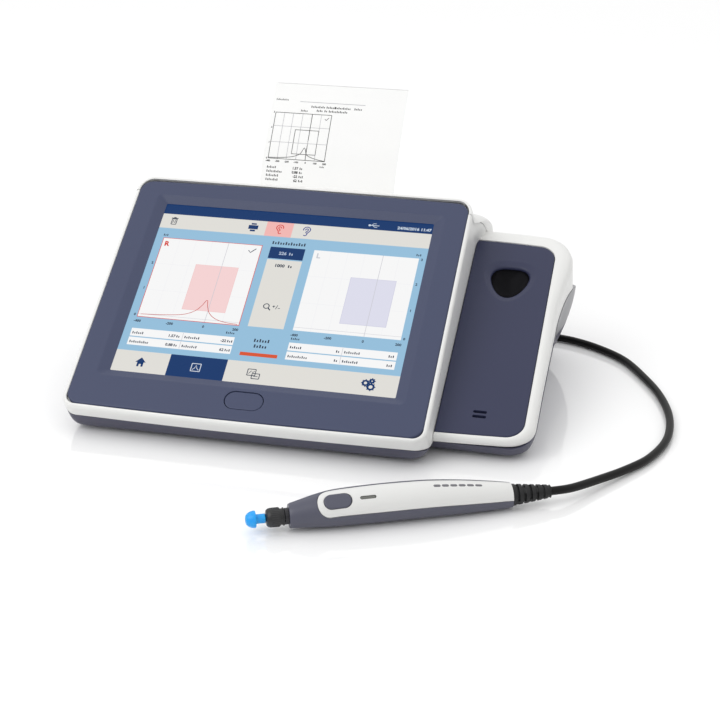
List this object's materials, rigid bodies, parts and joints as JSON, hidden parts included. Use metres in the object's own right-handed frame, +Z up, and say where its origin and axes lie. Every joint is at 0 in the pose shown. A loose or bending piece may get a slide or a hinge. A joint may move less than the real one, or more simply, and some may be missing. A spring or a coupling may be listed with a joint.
{
  "type": "tympanometer",
  "caption": "Desktop middle-ear tester: sloping touch screen, built-in strip printer under a hinged lid, side wing with a probe holder, and a hand probe on a coiled cord.",
  "frame": {"origin": "on the table under the middle of the unit, its paper and its probe, without the cord", "axes": "+X to the right as the user faces the screen, +Y to the back, +Z up"},
  "size_m": [0.4356, 0.4601, 0.194],
  "materials": {
    "white_plastic": "fine satin",
    "slate_plastic": "satin",
    "dark_slate_plastic": "satin",
    "black_plastic": "satin",
    "black_rubber": "matte",
    "screen_glass": "smooth, over a lit display",
    "display_module": "pressed tray",
    "circuit_board": "lacquered",
    "bright_steel": "bright",
    "thermal_paper": "smooth coated paper",
    "cream_nylon": "plain",
    "blue_silicone": "soft satin",
    "clear_silicone": "satin"
  },
  "bodies": {
    "unit": {"base_housing": "slate_plastic", "rear_hull": "white_plastic", "rear_wall": "white_plastic", "display_housing": "white_plastic", "wing_housing": "white_plastic", "display_bezel": "slate_plastic", "wing_panel": "dark_slate_plastic", "touch_glass": "screen_glass", "lcd_module": "display_module", "button_switch": "black_plastic", "main_board": "circuit_board", "socket_board": "circuit_board", "connector_plate": "black_plastic", "power_jack": "black_plastic", "usb_socket": "bright_steel", "probe_socket": "black_plastic", "printer_frame": "bright_steel", "print_head": "black_plastic", "printer_motor": "bright_steel", "paper_trough": "cream_nylon", "hinge_pin_left": "bright_steel", "hinge_pin_right": "bright_steel", "probe_holder": "black_plastic", "beeper": "black_plastic", "pump_motor": "bright_steel", "pump_cylinder": "cream_nylon", "valve_block": "black_plastic", "air_tube": "clear_silicone", "foot_front_left": "black_rubber", "foot_front_right": "black_rubber", "foot_rear_left": "black_rubber", "foot_rear_right": "black_rubber", "base_screw_front_left": "bright_steel", "base_screw_front_right": "bright_steel", "base_screw_rear_left": "bright_steel", "base_screw_rear_right": "bright_steel", "probe_cord_free": "black_rubber", "probe_cord_coil": "black_rubber", "probe_cord_tail": "black_rubber", "probe_plug": "black_plastic"},
    "lid": {"printer_lid": "white_plastic", "platen_bracket": "bright_steel", "paper_strip": "thermal_paper"},
    "platen": {"platen_roller": "black_rubber", "platen_gear": "cream_nylon"},
    "idler": {"idler_gear": "cream_nylon"},
    "motor_shaft": {"motor_pinion": "bright_steel"},
    "roll": {"paper_roll": "thermal_paper", "roll_spindle": "cream_nylon"},
    "start_key": {"start_button": "slate_plastic"},
    "piston": {"pump_piston": "black_plastic"},
    "probe": {"probe_lower_shell": "slate_plastic", "probe_upper_shell": "white_plastic", "status_light": "cream_nylon", "probe_board": "circuit_board", "probe_tip": "black_plastic", "strain_relief": "black_rubber"},
    "probe_key": {"probe_button": "slate_plastic"},
    "collar": {"collar_nut": "black_plastic"},
    "tip": {"ear_tip": "blue_silicone"}
  },
  "joints": [
    {"name": "lid_hinge", "type": "hinge", "parent": "unit", "child": "lid", "pos_m": [-0.0414, 0.1663, 0.09], "axis": [-1, 0, 0], "range_deg": [0, 80]},
    {"name": "roll_spin", "type": "hinge", "parent": "unit", "child": "roll", "pos_m": [-0.0339, 0.1347, 0.074], "axis": [1, 0, 0], "continuous": true},
    {"name": "platen_spin", "type": "hinge", "parent": "lid", "child": "platen", "pos_m": [-0.0414, 0.1365, 0.1015], "axis": [1, 0, 0], "continuous": true},
    {"name": "idler_spin", "type": "hinge", "parent": "unit", "child": "idler", "pos_m": [-0.0969, 0.12301, 0.09838], "axis": [1, 0, 0], "continuous": true},
    {"name": "motor_spin", "type": "hinge", "parent": "unit", "child": "motor_shaft", "pos_m": [-0.0969, 0.11489, 0.09212], "axis": [1, 0, 0], "continuous": true},
    {"name": "start_press", "type": "slide", "parent": "unit", "child": "start_key", "axis": [0, 0.5165, -0.8563], "range_m": [0, 0.0008], "stiffness_N_per_m": 1500, "springref_m": -0.0004},
    {"name": "pump_stroke", "type": "slide", "parent": "unit", "child": "piston", "axis": [0, 1, 0], "range_m": [0, 0.018]},
    {"name": "probe_lift", "type": "slide", "parent": "unit", "child": "probe", "axis": [0, 0, 1], "range_m": [0, 0.08]},
    {"name": "probe_press", "type": "slide", "parent": "probe", "child": "probe_key", "axis": [-0.2638, 0.5788, -0.7716], "range_m": [0, 0.0006], "stiffness_N_per_m": 900, "springref_m": -0.0003},
    {"name": "collar_turn", "type": "hinge", "parent": "probe", "child": "collar", "pos_m": [0.0144, -0.18103, 0.0099], "axis": [0.91, 0.4147, 0], "continuous": true},
    {"name": "ear_tip_pull", "type": "slide", "parent": "probe", "child": "tip", "axis": [-0.91, -0.4147, 0], "range_m": [0, 0.012]}
  ],
  "couplings": [
    {"joint": "platen_spin", "follows": "roll_spin", "ratio": 4},
    {"joint": "idler_spin", "follows": "roll_spin", "ratio": -3.6667},
    {"joint": "motor_spin", "follows": "roll_spin", "ratio": 8.8}
  ]
}
